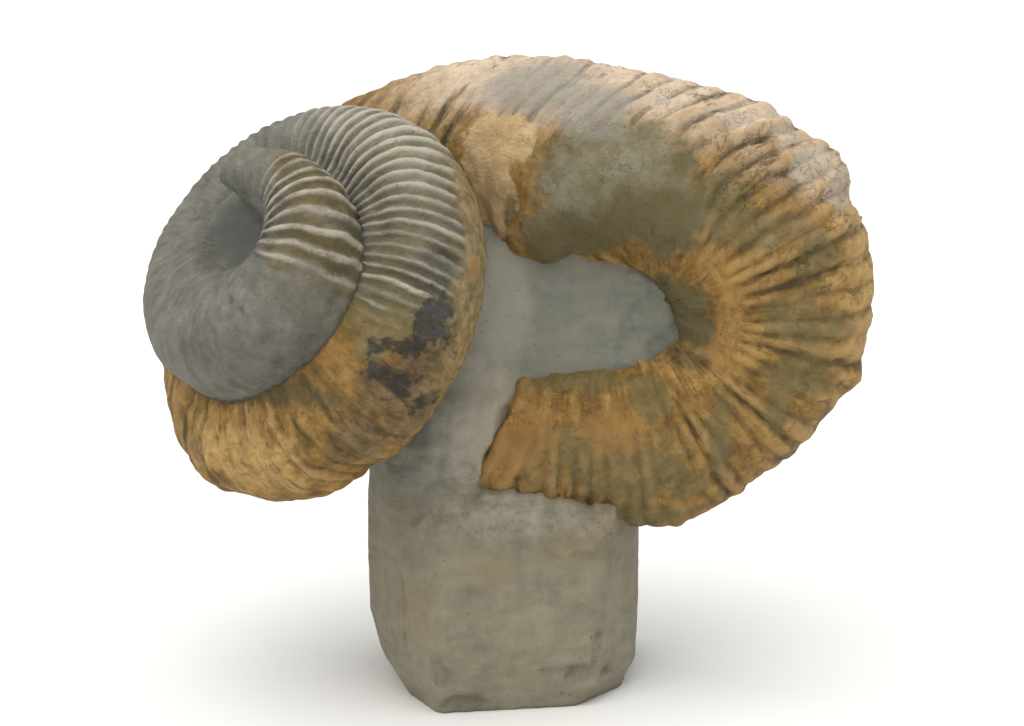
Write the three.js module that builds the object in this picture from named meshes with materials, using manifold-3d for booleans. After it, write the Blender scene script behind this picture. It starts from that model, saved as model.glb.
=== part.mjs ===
// Fossil ammonite on the rock it was found in.
// The shell is one long tapering tube. It winds as a rising helix round a tilted axis (the spire),
// leaves that coil behind it, and swings over and back in a wide open hook that ends broken off.
// The rock is one body: a squat pillar under the hook, a web that fills the hook, and a core that
// fills the middle of the spire.
// Millimetres, +Z up, -Y towards the front. The origin is on the ground, under the middle of the
// whole fossil's box.
import * as THREE from 'three';
import { mergeVertices } from 'three/addons/utils/BufferGeometryUtils.js';
import Module from 'manifold-3d';

const wasm = await Module();
wasm.setup();

// ---- Spire: the early whorls, a helix round a tilted axis ----
const AXIS_TILT = 54;                      // degrees, from straight forward to the axis
const AXIS_ROLL = 136;                     // degrees, where the axis leans, from +X up towards +Z
const SPIRE_CENTRE = [-60.4, -23.4, 131.3];  // on the axis, level with the end of the first turn
const WHORL_RADIUS = 35.3;                 // axis to tube centre, at the end of the first turn
const WHORL_GROWTH = 1.46;                 // growth of that radius in a turn
const TUBE_RADIUS = 18.1;                  // of the tube itself, at the end of the first turn
const TUBE_GROWTH = 1.40;                  // growth of the tube in a turn
const SPIRE_PITCH = 31.5;                  // drop along the axis in a turn
const FIRST_TURN = 0.06;                   // where the shell comes out of the rock core
const LAST_TURN = 1.58;                    // where the hook takes over from the helix
const YOUNG_SHELL = 0.30;                  // turns over which the thin young end fattens
const STATIONS_PER_TURN = 12;

// ---- Hook: places that the open part of the tube passes, with its radius there ----
const HOOK = [
  [-82.5, 10, 98.5, 23],
  [-72.5, 34, 119, 24.3],
  [-48.5, 46.5, 145, 26],
  [-25.5, 38.5, 156, 27.5],
  [-1.5, 23.5, 161, 29.5],
  [24.5, 9.5, 159.5, 30.8],
  [46.5, 2, 157.3, 30.5],
  [65, -1, 148.6, 30],
  [76.8, -2, 132.6, 29.3],
  [78.8, -2, 113.2, 27.8],
  [71, -2, 95.1, 26],
  [56.5, -2.5, 82.8, 24.5],
  [38.5, -4, 76, 23.3],
  [14, -5.5, 74.3, 22.2],
  [-6, -6.5, 77.2, 21.2],
];

// ---- Mesh of the tube, and the gap that rock and shell keep ----
const TUBE_STEPS = 128;
const TUBE_SIDES = 22;
const LENGTH_ENDS = [27, 60, TUBE_STEPS];  // steps where one length of the tube hands over to the next
const JOIN_INSET = 0.2;
const CONTACT_GAP = 0.3;

// ---- Rock: level outlines of the pillar and of the web above it ----
// Each level is [height, then the outline's corners going round from the front left].
const ROCK_LEVELS = [
  [0, [-22, -34.5], [17, -27], [28, -9], [38.5, 26], [28, 39], [-14, 40], [-31, 28], [-35.5, 6], [-31, -17]],
  [6, [-22, -36.5], [23, -29], [34, -9], [40.5, 28], [30, 41], [-16, 42], [-36, 31], [-40.5, 6], [-34, -19]],
  [20, [-21.5, -37], [27, -27.5], [37, -6], [41, 27], [31, 42], [-17, 43], [-40, 33], [-44.5, 6], [-35, -21]],
  [42, [-21, -35.5], [27.5, -26], [38, -4], [41, 27], [31, 42], [-17, 43], [-41, 33], [-44.7, 5], [-35, -21]],
  [58, [-21, -31], [27, -22], [40, -4], [42, 24], [31, 37], [-17, 40], [-41, 30], [-44.5, 4], [-36, -19]],
  [76, [-24, -24], [12, -16], [46, -10], [56, 16], [34, 28], [-16, 34], [-38, 27], [-44, 6], [-38, -14]],
  [98, [-26, -16], [10, -13], [52, -11], [64, 4], [44, 18], [-10, 28], [-32, 26], [-40, 8], [-36, -8]],
  [122, [-22, -8], [10, -10], [50, -10], [66, 2], [46, 14], [-4, 24], [-22, 26], [-30, 12], [-28, 0]],
  [146, [-14, 2], [10, -6], [44, -6], [54, 2], [40, 10], [2, 20], [-12, 24], [-20, 16], [-18, 6]],
];

// ---- Rock core: its outline in the middle of the spire, [radius, distance along the axis] ----
const CORE_OUTLINE = [
  [0, -84], [24, -80], [27, -58], [24, -30], [21, -8], [21, 10], [19, 19], [13, 25], [0, 27],
];
const CORE_SIDES = 24;

const SHELL_MATERIAL = new THREE.MeshStandardMaterial({ color: 0xa8906a, roughness: 0.72, metalness: 0 });
const ROCK_MATERIAL = new THREE.MeshStandardMaterial({ color: 0x9a9488, roughness: 0.9, metalness: 0 });

// The spire's axis, and the two directions square to it that its turns are measured from.
function spireAxes() {
  const tilt = THREE.MathUtils.degToRad(AXIS_TILT);
  const roll = THREE.MathUtils.degToRad(AXIS_ROLL);
  const lean = Math.sin(tilt);
  const along = new THREE.Vector3(lean * Math.cos(roll), -Math.cos(tilt), lean * Math.sin(roll));
  const up = new THREE.Vector3(0, 0, 1).addScaledVector(along, -along.z).normalize();
  const right = new THREE.Vector3().crossVectors(up, along);
  return { along, up, right };
}

// Centre and radius of the tube after the given number of turns.
function spireStation(turn) {
  const { along, up, right } = spireAxes();
  const grown = THREE.MathUtils.smoothstep(turn, 0, YOUNG_SHELL);
  const reach = WHORL_RADIUS * WHORL_GROWTH ** (turn - 1) * (0.66 + 0.34 * grown);
  const radius = TUBE_RADIUS * TUBE_GROWTH ** (turn - 1) * (0.60 + 0.40 * grown);
  const angle = 2 * Math.PI * turn;
  const centre = new THREE.Vector3(...SPIRE_CENTRE)
    .addScaledVector(along, -SPIRE_PITCH * (turn - 1))
    .addScaledVector(up, reach * Math.cos(angle))
    .addScaledVector(right, reach * Math.sin(angle));
  return { centre, radius };
}

// The whole tube as places to pass: the helix worked out, then the hook's own.
function shellStations() {
  const stations = [];
  for (let turn = FIRST_TURN; turn <= LAST_TURN; turn += 1 / STATIONS_PER_TURN) {
    stations.push(spireStation(turn));
  }
  for (const [x, y, z, radius] of HOOK) {
    stations.push({ centre: new THREE.Vector3(x, y, z), radius });
  }
  return stations;
}

// The tube's centre line, its radius along that line, and the frames its rings are drawn in.
function tubeRoute() {
  const stations = shellStations();
  const centreLine = new THREE.CatmullRomCurve3(
    stations.map((station) => station.centre), false, 'catmullrom', 0.5);
  const girth = new THREE.CatmullRomCurve3(
    stations.map((station) => new THREE.Vector3(station.radius, 0, 0)), false, 'catmullrom', 0.5);
  return { centreLine, girth, frames: centreLine.computeFrenetFrames(TUBE_STEPS, false) };
}

// The ring of points round the tube at one step. The two end rings move outwards with the skin.
function tubeRing({ centreLine, girth, frames }, step, extraRadius) {
  const t = centreLine.getUtoTmapping(step / TUBE_STEPS);
  const centre = centreLine.getPoint(t);
  const radius = girth.getPoint(t).x + extraRadius;
  if (step === 0) centre.addScaledVector(frames.tangents[step], -extraRadius);
  if (step === TUBE_STEPS) centre.addScaledVector(frames.tangents[step], extraRadius);
  const points = [];
  for (let side = 0; side < TUBE_SIDES; side++) {
    const angle = 2 * Math.PI * side / TUBE_SIDES;
    points.push(centre.clone()
      .addScaledVector(frames.normals[step], radius * Math.cos(angle))
      .addScaledVector(frames.binormals[step], radius * Math.sin(angle)));
  }
  return points;
}

// A closed body through a stack of rings, with a flat fan on each end.
function loftRings(rings) {
  const sides = rings[0].length;
  const positions = rings.flat().flatMap((p) => [p.x, p.y, p.z]);
  const index = [];
  for (let ring = 0; ring < rings.length - 1; ring++) {
    for (let side = 0; side < sides; side++) {
      const a = ring * sides + side;
      const b = ring * sides + (side + 1) % sides;
      index.push(a, b, b + sides, a, b + sides, a + sides);
    }
  }
  const top = (rings.length - 1) * sides;
  for (let side = 1; side < sides - 1; side++) {
    index.push(0, side + 1, side);
    index.push(top, top + side, top + side + 1);
  }
  const geometry = new THREE.BufferGeometry();
  geometry.setAttribute('position', new THREE.Float32BufferAttribute(positions, 3));
  geometry.setIndex(index);
  return geometry;
}

// A closed three.js geometry as a manifold-3d solid, and back.
function toSolid(geometry) {
  const bare = geometry.clone();
  bare.deleteAttribute('normal');
  bare.deleteAttribute('uv');
  const merged = mergeVertices(bare);
  const corners = Array.from(merged.index.array);
  const kept = [];
  for (let i = 0; i < corners.length; i += 3) {
    const [a, b, c] = corners.slice(i, i + 3);
    if (a !== b && b !== c && c !== a) kept.push(a, b, c);
  }
  return new wasm.Manifold(new wasm.Mesh({
    numProp: 3,
    vertProperties: new Float32Array(merged.attributes.position.array),
    triVerts: new Uint32Array(kept),
  }));
}

function toGeometry(solid) {
  const mesh = solid.getMesh();
  const geometry = new THREE.BufferGeometry();
  geometry.setAttribute('position', new THREE.BufferAttribute(mesh.vertProperties, 3));
  geometry.setIndex(new THREE.BufferAttribute(mesh.triVerts, 1));
  geometry.computeVertexNormals();
  return geometry;
}

// The tube presses against its own earlier turns, so it is made in lengths that each stay clear of
// themselves. Each later length starts a step back, a little inside the one before, and they join.
function shellSolid(extraRadius) {
  const route = tubeRoute();
  let solid = null;
  for (let i = 0; i < LENGTH_ENDS.length; i++) {
    const start = i === 0 ? 0 : LENGTH_ENDS[i - 1];
    const rings = i === 0 ? [] : [tubeRing(route, start - 1, extraRadius - JOIN_INSET)];
    for (let step = start; step <= LENGTH_ENDS[i]; step++) {
      const inset = i > 0 && step === start ? JOIN_INSET : 0;
      rings.push(tubeRing(route, step, extraRadius - inset));
    }
    const length = toSolid(loftRings(rings));
    solid = solid ? solid.add(length) : length;
  }
  return solid;
}

// Pillar and web: one body through the level outlines.
function pillarSolid() {
  const rings = ROCK_LEVELS.map(([height, ...corners]) => {
    const outline = new THREE.CatmullRomCurve3(
      corners.map(([x, y]) => new THREE.Vector3(x, y, height)), true, 'centripetal');
    return outline.getPoints(corners.length * 3).slice(0, -1);
  });
  return toSolid(loftRings(rings));
}

// Core of the spire: an outline turned round the spire's axis.
function coreSolid() {
  const { along } = spireAxes();
  const outline = CORE_OUTLINE.map(([radius, distance]) => new THREE.Vector2(radius, distance));
  const geometry = new THREE.LatheGeometry(outline, CORE_SIDES);
  geometry.applyQuaternion(new THREE.Quaternion().setFromUnitVectors(new THREE.Vector3(0, 1, 0), along));
  geometry.translate(...SPIRE_CENTRE);
  return toSolid(geometry);
}

function ammoniteShell() {
  const mesh = new THREE.Mesh(toGeometry(shellSolid(0)), SHELL_MATERIAL);
  mesh.name = 'ammonite_shell';
  return mesh;
}

function rockMatrix() {
  const rock = pillarSolid().add(coreSolid()).subtract(shellSolid(CONTACT_GAP));
  const mesh = new THREE.Mesh(toGeometry(rock), ROCK_MATERIAL);
  mesh.name = 'rock_matrix';
  return mesh;
}

const fossil = new THREE.Group();
fossil.add(ammoniteShell(), rockMatrix());

export default fossil;
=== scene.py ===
import math

import bmesh
import bpy
import numpy as np
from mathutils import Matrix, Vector, noise


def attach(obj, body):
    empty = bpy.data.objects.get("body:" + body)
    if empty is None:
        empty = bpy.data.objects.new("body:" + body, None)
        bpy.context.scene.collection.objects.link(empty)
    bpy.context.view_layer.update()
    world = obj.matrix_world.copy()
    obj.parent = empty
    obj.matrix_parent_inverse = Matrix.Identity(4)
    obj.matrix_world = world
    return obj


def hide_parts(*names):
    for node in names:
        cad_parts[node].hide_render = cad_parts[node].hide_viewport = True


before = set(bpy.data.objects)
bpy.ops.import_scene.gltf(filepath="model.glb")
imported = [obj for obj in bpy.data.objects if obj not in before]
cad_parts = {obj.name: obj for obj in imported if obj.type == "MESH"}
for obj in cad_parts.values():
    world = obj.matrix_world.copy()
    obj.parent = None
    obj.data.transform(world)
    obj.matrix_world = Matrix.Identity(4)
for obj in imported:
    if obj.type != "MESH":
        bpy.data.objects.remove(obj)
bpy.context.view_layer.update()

# ------------------------------------------------------------------------------------ camera
# It looks square at the front of the fossil through a long lens, from a little above it.
camera_target = Vector((0.0003, -0.0034, 0.1005))
camera_distance = 0.731
camera_lift = math.radians(12)
back_off = Vector((0, -math.cos(camera_lift), math.sin(camera_lift)))
bpy.ops.object.camera_add(
    location=camera_target + camera_distance * back_off,
    rotation=(math.radians(90) - camera_lift, 0, 0))
camera = bpy.context.object
camera.data.lens = 85
camera.data.sensor_width = 36
bpy.context.scene.camera = camera

# ----------------------------------------------------------------------------- shell: its shape
# The shell grew as one tapering tube of thin layered lime, ribbed across, and was filled with mud
# that turned to stone. It winds as a rising helix (the spire), leaves that coil behind it, and
# swings over and back in an open hook that is broken off. Sizes here are millimetres.
MM = 0.001
AXIS_TILT = math.radians(54)
AXIS_ROLL = math.radians(136)
SPIRE_CENTRE = np.array([-60.4, -23.4, 131.3])
WHORL_RADIUS = 35.3
WHORL_GROWTH = 1.46
TUBE_RADIUS = 18.1
TUBE_GROWTH = 1.40
SPIRE_PITCH = 31.5
FIRST_TURN = 0.06
LAST_TURN = 1.58
YOUNG_SHELL = 0.30
STATIONS_PER_TURN = 12
# The hook's stations: x, y, z of the middle of the tube, and its radius.
HOOK = [
    (-82.5, 10, 98.5, 23), (-72.5, 34, 119, 24.3), (-48.5, 46.5, 145, 26), (-25.5, 38.5, 156, 27.5),
    (-1.5, 23.5, 161, 29.5), (24.5, 9.5, 159.5, 30.8), (46.5, 2, 157.3, 30.5), (65, -1, 148.6, 30),
    (76.8, -2, 132.6, 29.3), (78.8, -2, 113.2, 27.8), (71, -2, 95.1, 26), (56.5, -2.5, 82.8, 24.5),
    (38.5, -4, 76, 23.3), (14, -5.5, 74.3, 22.2), (-6, -6.5, 77.2, 21.2)]
AXIS = np.array([
    math.sin(AXIS_TILT) * math.cos(AXIS_ROLL),
    -math.cos(AXIS_TILT),
    math.sin(AXIS_TILT) * math.sin(AXIS_ROLL)])


def smooth(low, high, value):
    """0 below low, 1 above high, and a soft step between them."""
    step = np.clip((value - low) / (high - low), 0, 1)
    return step * step * (3 - 2 * step)


def spire_station(turn):
    """Centre and radius of the tube after so many turns of the helix."""
    up = np.array([0, 0, 1]) - AXIS[2] * AXIS
    up /= np.linalg.norm(up)
    right = np.cross(up, AXIS)
    grown = smooth(0, YOUNG_SHELL, turn)
    reach = WHORL_RADIUS * WHORL_GROWTH ** (turn - 1) * (0.66 + 0.34 * grown)
    radius = TUBE_RADIUS * TUBE_GROWTH ** (turn - 1) * (0.60 + 0.40 * grown)
    angle = 2 * math.pi * turn
    centre = (SPIRE_CENTRE - SPIRE_PITCH * (turn - 1) * AXIS
              + reach * (math.cos(angle) * up + math.sin(angle) * right))
    return (*centre, radius)


def route_place(stations, t):
    """A smooth curve through the stations, t counting them."""
    i = min(int(t), len(stations) - 2)
    f = t - i
    b, c = stations[i], stations[i + 1]
    a = stations[i - 1] if i > 0 else 2 * b - c
    d = stations[i + 2] if i + 2 < len(stations) else 2 * c - b
    slope = (c - a) * f
    bend = (2 * a - 5 * b + 4 * c - d) * f ** 2
    turn = (3 * b - a - 3 * c + d) * f ** 3
    return 0.5 * (2 * b + slope + bend + turn)


YOUNG_STATIONS = 2   # stations of the youngest shell, which runs back into the middle of the spire
spire_turns = np.arange(FIRST_TURN - YOUNG_STATIONS / STATIONS_PER_TURN, LAST_TURN, 1 / STATIONS_PER_TURN)
stations = np.array([spire_station(turn) for turn in spire_turns] + HOOK)
counts = np.linspace(0, len(stations) - 1, 5000)
dense = np.array([route_place(stations, t) for t in counts])
dense_run = np.r_[0, np.cumsum(np.linalg.norm(np.diff(dense[:, :3], axis=0), axis=1))]
dense_run -= np.interp(YOUNG_STATIONS, counts, dense_run)
SHELL_START, SHELL_LENGTH = dense_run[0], dense_run[-1]
APEX_DOME = 8
from_apex = np.clip((dense_run - SHELL_START) / APEX_DOME, 0.02, 1)
dense[:, 3] *= np.sqrt(1 - (1 - from_apex) ** 2)

# The route again at even steps, with its direction and which way is outwards from the coil.
ROUTE_STEP = 0.5
COIL_REACH = 24
runs = np.arange(SHELL_START, SHELL_LENGTH, ROUTE_STEP)


def route_at(run):
    """Centre and radius of the tube so many millimetres along it."""
    return np.array([np.interp(run, dense_run, dense[:, k]) for k in range(4)]).T


route = route_at(runs)
ahead = route_at(np.clip(runs + COIL_REACH, SHELL_START, SHELL_LENGTH))[:, :3]
behind = route_at(np.clip(runs - COIL_REACH, SHELL_START, SHELL_LENGTH))[:, :3]
forwards = np.gradient(route[:, :3], axis=0)
forwards /= np.linalg.norm(forwards, axis=1)[:, None]


def squared_off(directions):
    """The directions turned square to the route, at length 1."""
    directions = directions - np.sum(directions * forwards, axis=1)[:, None] * forwards
    return directions / np.linalg.norm(directions, axis=1)[:, None]


BEND_CENTRE = np.array([38.5, -3, 117.5])
from_coil = squared_off(route[:, :3] - 0.5 * (ahead + behind))
from_bend = squared_off((route[:, :3] - BEND_CENTRE) * np.array([1, 0, 1]))
in_hook = smooth(400, 470, runs)[:, None]
outwards = squared_off(from_coil * (1 - in_hook) + from_bend * in_hook)
sideways = np.cross(forwards, outwards)

# One coarse ring for every rib and a half. The ribs are coarse on the young shell, fine on the
# spire and coarse again on the hook: pairs of millimetres along the shell and the rib spacing there.
RIB_SPACING = [
    (0, 3.6), (30, 3.9), (45, 4.2), (64, 3.2), (160, 3.0), (190, 3.4), (225, 3.1), (250, 3.6),
    (300, 4.0), (345, 4.6), (420, 5.4), (500, 5.6), (560, 4.9), (690, 4.5)]
ring_runs = [SHELL_START]
RIBS_PER_RING = 1.5
LAST_RING_GAP = 9
while ring_runs[-1] < SHELL_LENGTH - LAST_RING_GAP:
    ring_runs.append(ring_runs[-1] + RIBS_PER_RING * np.interp(ring_runs[-1], *zip(*RIB_SPACING)))
ring_runs.append(SHELL_LENGTH)
COARSE_SIDES = 12
ROUNDING = (2 + math.cos(2 * math.pi / COARSE_SIDES)) / 3  # how far subdividing draws a ring in


def tube_length(name, first, last):
    """The tube from one ring to another: a disc extruded along the route, then subdivided."""
    bpy.ops.object.select_all(action="DESELECT")
    bpy.ops.mesh.primitive_circle_add(vertices=COARSE_SIDES, radius=1, fill_type="NGON")
    tube = bpy.context.object
    tube.name = name
    tube.data.attributes.new("ring", "FLOAT", "POINT")
    bpy.ops.object.mode_set(mode="EDIT")
    bpy.ops.mesh.select_all(action="SELECT")
    was_centre = Vector((0, 0, 0))
    was_forward = Vector((0, 0, 1))
    was_radius = 1.0
    for ring in range(first, last + 1):
        if ring > first:
            bpy.ops.mesh.extrude_region_move()
        place = route_at(ring_runs[ring])
        centre = Vector(place[:3] * MM)
        forward = Vector(forwards[min(int((ring_runs[ring] - SHELL_START) / ROUTE_STEP), len(runs) - 1)])
        turn = was_forward.rotation_difference(forward)
        grow = place[3] * MM / was_radius
        cage = bmesh.from_edit_mesh(tube.data)
        number = cage.verts.layers.float["ring"]
        for corner in cage.verts:
            if corner.select:
                corner.co = centre + turn @ (corner.co - was_centre) * grow
                corner[number] = ring
        was_centre, was_forward, was_radius = centre, forward, place[3] * MM
    cage = bmesh.from_edit_mesh(tube.data)
    crease = cage.edges.layers.float.new("crease_edge")
    number = cage.verts.layers.float["ring"]
    for edge in cage.edges:
        ends = {edge.verts[0][number], edge.verts[1][number]}
        edge[crease] = 1.0 if ends in ({first}, {last}) else 0.0
    bmesh.update_edit_mesh(tube.data)
    bpy.ops.mesh.select_all(action="SELECT")
    bpy.ops.mesh.normals_make_consistent(inside=False)
    bpy.ops.object.mode_set(mode="OBJECT")
    rounder = tube.modifiers.new("fine", "SUBSURF")
    rounder.levels = 3
    rounder.render_levels = 3
    bpy.ops.object.modifier_apply(modifier="fine")
    return tube


def noise_field(points, size, octaves=3, shift=0.0):
    """Smooth random lumps about size millimetres across, from about -1 to 1, at each point."""
    away = Vector((shift, 2.3 * shift, -1.7 * shift))
    return np.array([noise.fractal(Vector(p) / size + away, 1.0, 2.0, octaves) for p in points])


def blobs(points, zones):
    """How deep each point is inside egg-shaped zones: 1 in the middle, 0 at the rim, less outside."""
    depth = np.full(len(points), -9.0)
    for x, y, z, width, deep, tall in zones:
        away = (points - np.array([x, y, z])) / np.array([width, deep, tall])
        depth = np.maximum(depth, 1 - np.linalg.norm(away, axis=1))
    return depth


def along(run, pairs):
    """The value that the pairs (run, value) give at each run, even between them."""
    return np.interp(run, *zip(*pairs))


def chance(number, seed):
    """A fixed random value from 0 to 1 for each whole number."""
    return np.modf(np.abs(np.sin((number + seed) * 12.9898) * 43758.5453))[0]


# How far the ribs lean, how strong and how broad they are, along the shell.
RIB_LEAN = [
    (0, 0), (184, 0), (200, -5), (212, -5), (228, -3), (240, 0), (408, 0), (440, -8), (480, -13),
    (530, -13), (566, 0), (690, 0)]
RIB_HEIGHT = [
    (-18, 0.10), (0, 0.35), (8, 0.95), (27, 1.05), (35, 0.65), (43, 0.3), (54, 0.2), (120, 0.26),
    (150, 0.5), (185, 0.85), (205, 1.25), (226, 1.2), (238, 0.7), (256, 0.7), (280, 0.8),
    (345, 0.9), (480, 1.0), (520, 1.5), (570, 1.5), (600, 1.2), (690, 1.0)]
RIB_BREADTH = [
    (0, 0), (60, 0.2), (250, 0.1), (268, 0.7), (345, 0.8), (430, 0.6), (520, 0.8), (690, 0.9)]
RIB_UNEVENNESS = [
    (0, 0.25), (60, 0.4), (190, 0.3), (240, 0.6), (280, 0.7), (345, 0.6), (500, 0.7), (690, 0.7)]

# Where the outer layers are changed, and where light and shade are painted on: x, y, z of each zone's
# middle, and how far it reaches in x, y, z.
WORN = [
    (29, -26, 157, 27, 17, 21), (44, -22, 152, 15, 14, 15), (16, -16, 142, 14, 16, 9),
    (46, -14, 121, 14, 16, 9), (52, -16, 114, 9, 14, 6)]
WORN_DARK = [
    (20, -14, 139, 22, 16, 9), (40, -22, 145, 17, 16, 12), (54, -28, 166, 7, 10, 9),
    (50, -12, 119, 20, 20, 16)]
BARE_BAND = [
    (8, -6, 185, 20, 20, 9), (24, -14, 180, 12, 12, 9)]
KNOBBLY = [
    (-4, -8, 167, 13, 14, 9), (-6, -6, 153, 8, 14, 20)]
BEND_KNOBS = [
    (64, -24, 127, 6, 12, 10), (66, -24, 113, 6, 12, 11)]
FLAKY = [
    (72, -20, 165, 28, 18, 16), (92, -14, 150, 14, 18, 18), (60, -28, 158, 12, 14, 12),
    (88, -22, 134, 14, 14, 12)]
CHIPS = [
    (86, -16, 162, 8, 14, 3.5), (80, -14, 171, 6, 10, 2.5), (96, -12, 154, 5, 12, 6),
    (66, -16, 176, 5, 8, 2), (44, -10, 182, 7, 8, 2.5), (8, -12, 134, 5, 9, 2)]
OLIVE_PATCHES = [
    (83, -29, 120, 10, 10, 7), (94, -22, 116, 5, 10, 4), (42, -22, 93, 6, 12, 5),
    (16, -15, 96, 16, 10, 3), (24, -26, 78, 24, 12, 8), (72, -31, 145, 12, 10, 6),
    (88, -26, 137, 7, 10, 6), (86, -26, 101, 10, 12, 6), (40, -24, 68, 22, 10, 6),
    (60, -30, 152, 10, 10, 10), (8, -28, 73, 3.5, 10, 9), (62, -26, 84, 4, 12, 12),
    (78, -26, 92, 3, 12, 9), (-30, -64, 125, 15, 10, 7), (-38, -66, 119, 6, 10, 5),
    (19, -28, 74, 2, 10, 8), (29, -27, 77, 2.5, 10, 9), (34, -18, 57, 18, 14, 6),
    (-4, -28, 68, 2, 8, 4), (44, -27, 74, 3, 10, 9)]
CHARRED = [
    (-21, -65, 126, 6, 9, 7), (-27, -67, 119, 5, 9, 2.5), (-34, -69, 119, 5, 8, 2.5),
    (-30, -69, 107, 7, 9, 3.5), (-23, -64, 102, 5, 8, 3), (-37, -70, 112, 4, 8, 3)]
SLATY = [
    (-20, -65, 126, 5, 9, 7), (-40, -68, 115, 5, 8, 4)]
SLATE_HOLLOWS = [
    (-14, -52, 146, 9, 14, 6), (-20, -58, 138, 12, 14, 5)]
RUSTY = [
    (-49, -66, 117, 4, 9, 4), (-43, -69, 109, 3, 8, 4), (-10, -55, 137, 1.6, 8, 4),
    (64, -28, 128, 4, 9, 9), (62, -26, 112, 5, 9, 10), (-9, -8, 152, 2.5, 12, 15),
    (0, -24, 82, 14, 12, 12), (30, -24, 84, 10, 10, 6), (-12, -14, 168, 3, 10, 8)]
SUNLIT = [
    (105, -8, 138, 11, 24, 34), (99, -16, 160, 10, 16, 10), (-76, -52, 82, 20, 20, 10)]
SHADED = [
    (-83, -42, 147, 15, 24, 14)]
# painted shade where the turns meet low down, under the spire
LOW_CONTACT_SHADE_ZONES = [
    (-72, -58, 104, 26, 20, 4), (-92, -40, 102, 10, 20, 4)]
BURNT = [
    (94, -11, 84, 4, 6, 3), (82, -15, 74, 4, 6, 3), (0, -6, 148, 2, 8, 5), (52, -18, 104, 8, 12, 3),
    (-34, -68, 108, 11, 12, 7), (-42, -66, 92, 8, 12, 9), (-28, -62, 98, 8, 12, 8),
    (-24, -65, 115, 8, 10, 6)]
BROKEN = [
    (-18, -58, 141, 6, 8, 3.5), (3, 8, 190, 5, 14, 3), (104, -6, 150, 6, 20, 6)]
# Where the skin stands out from the plain tube or lies under it, in millimetres, and in which zone.
SWELLINGS = [
    (2.6, (104, -8, 97, 9, 14, 8)), (5.5, (50, -8, 120, 15, 18, 14)),
    (5.5, (5, -6, 138, 18, 18, 14)), (4.0, (20, -12, 98, 34, 16, 10)),
    (2.0, (48, -14, 100, 14, 14, 8)), (-2.4, (42, -3, 186, 40, 26, 18)),
    (2.8, (95, -8, 162, 15, 20, 12)), (3.0, (54, -4, 54, 26, 22, 16)),
    (2.0, (-91, -40, 74, 16, 20, 16)), (-2.4, (-44, -58, 76, 16, 20, 12)),
    (-2.0, (-95, -24, 152, 16, 24, 14))]
PITS = [
    (-77, -64, 131, 1.6, 3, 1.3), (-74, -68, 129, 1.2, 3, 1.1)]


TURN_APART = 70   # places further apart than this along the shell are on different turns


def gap_to_other_turns(run, spot):
    """Millimetres from each place to the skin of the turns beside it."""
    gap = np.full(len(run), 99.0)
    for here, place in zip(runs[::8], route[::8]):
        beside = np.abs(run - here) > TURN_APART
        distance = np.linalg.norm(spot - place[:3], axis=1) - place[3]
        gap = np.where(beside & (distance < gap), distance, gap)
    return gap


CORE_RADIUS = 21
CORE_TOP = 24


def gap_to_core(spot):
    """Millimetres from each place to the round core of rock in the middle of the spire."""
    from_centre = spot - SPIRE_CENTRE
    height = from_centre @ AXIS
    reach = np.sqrt(np.maximum(np.sum(from_centre ** 2, axis=1) - height ** 2, 0))
    return np.hypot(np.maximum(reach - CORE_RADIUS, 0), np.maximum(height - CORE_TOP, 0))


# Millimetres: where mud rounds off a groove, the sizes of the shell's lumps, and how far each kind
# of damage stands out or goes in.
GROOVE_FILL = 6.5
CORE_FILL = 9
WANDER_SIZE = 30
LUMP_SIZE = 15
FLAKE_SIZE = 11
RAGGED_SIZE = 8
LIFTED_FLAKE_SIZE = 7
KNOB_SIZE = 6
GRIT_SIZE = 3.4
LIFTED_FLAKE_HEIGHT = 1.3
KNOB_HEIGHT = 1.6
WORN_DEPTH = 0.6
CHIP_DEPTH = 0.6
CHAR_DEPTH = 0.4
BREAK_DEPTH = 1.1
PIT_DEPTH = 1.0
BEND_RISE = 1.2


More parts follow.
